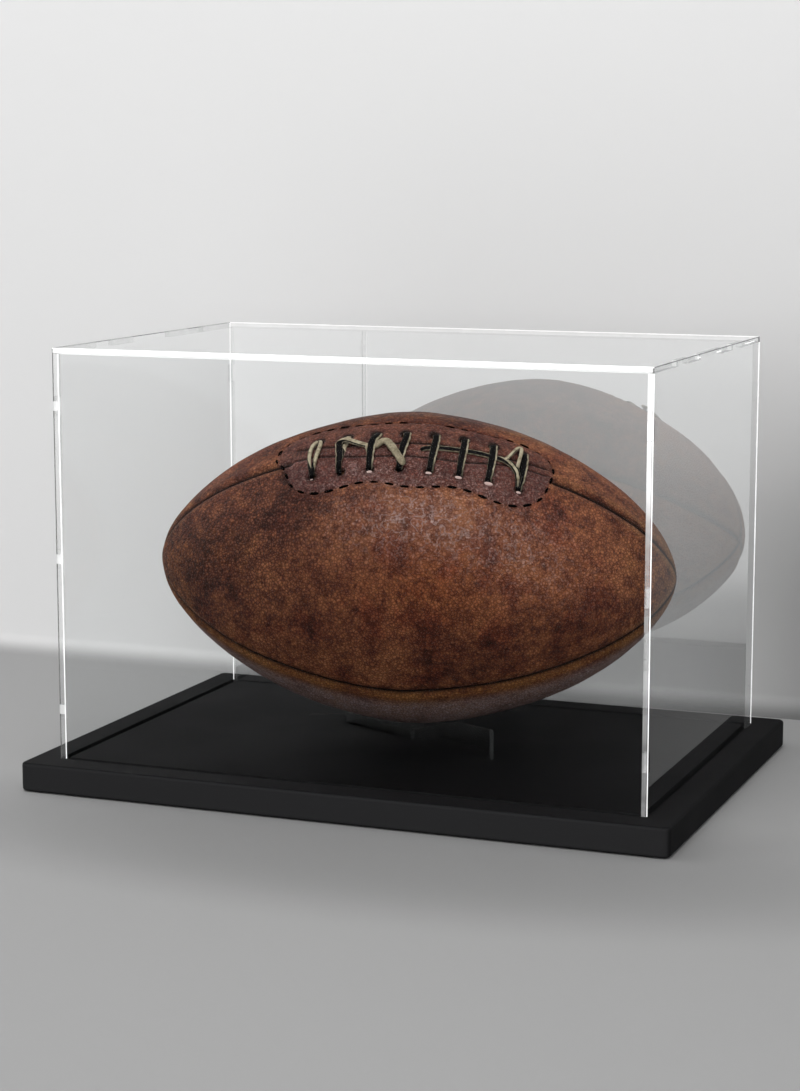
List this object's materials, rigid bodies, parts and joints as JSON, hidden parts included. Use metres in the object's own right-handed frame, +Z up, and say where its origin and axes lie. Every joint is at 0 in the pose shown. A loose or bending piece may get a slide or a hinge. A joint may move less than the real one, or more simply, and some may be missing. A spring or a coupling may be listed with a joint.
{
  "type": "football display case",
  "caption": "Display case for a full-size football: black base board, clear tab-jointed cover that lifts off, crossed clear stand and the laced leather ball it shows.",
  "frame": {"origin": "centre of the base, on the surface that the foot pads stand on", "axes": "+X along the long front of the case to the right, +Y to the back, +Z up"},
  "size_m": [0.351, 0.246, 0.232],
  "materials": {
    "base_black": "matt black lacquer with rounded edges",
    "foot_rubber": "matt black rubber",
    "clear_acrylic": "clear polished sheet with bright cut edges",
    "brown_leather": "aged pebbled brown leather",
    "lining_cloth": "woven cotton lining",
    "bladder_rubber": "matt red-brown rubber",
    "facing_leather": "dark red-brown leather",
    "lace_leather": "pale worn leather thong"
  },
  "bodies": {
    "base": {"base_board": "base_black", "foot_pad_front_left": "foot_rubber", "foot_pad_front_right": "foot_rubber", "foot_pad_back_left": "foot_rubber", "foot_pad_back_right": "foot_rubber"},
    "cover": {"cover_front_panel": "clear_acrylic", "cover_back_panel": "clear_acrylic", "cover_left_panel": "clear_acrylic", "cover_right_panel": "clear_acrylic", "cover_top_panel": "clear_acrylic"},
    "stand": {"stand_lower_plate": "clear_acrylic", "stand_upper_plate": "clear_acrylic"},
    "ball": {"ball_front_panel": "brown_leather", "ball_top_panel": "brown_leather", "ball_back_panel": "brown_leather", "ball_bottom_panel": "brown_leather", "ball_front_lining": "lining_cloth", "ball_top_lining": "lining_cloth", "ball_back_lining": "lining_cloth", "ball_bottom_lining": "lining_cloth", "ball_bladder": "bladder_rubber", "lace_tongue": "facing_leather", "lace_front_facing": "facing_leather", "lace_top_facing": "facing_leather", "ball_lace": "lace_leather"}
  },
  "joints": [
    {"name": "cover_lift", "type": "slide", "parent": "base", "child": "cover", "axis": [0, 0, 1], "range_m": [0, 0.25]},
    {"name": "stand_lift", "type": "slide", "parent": "base", "child": "stand", "axis": [0, 0, 1], "range_m": [0, 0.008]},
    {"name": "ball_lift", "type": "slide", "parent": "stand", "child": "ball", "axis": [0, 0, 1], "range_m": [0, 0.02]}
  ]
}
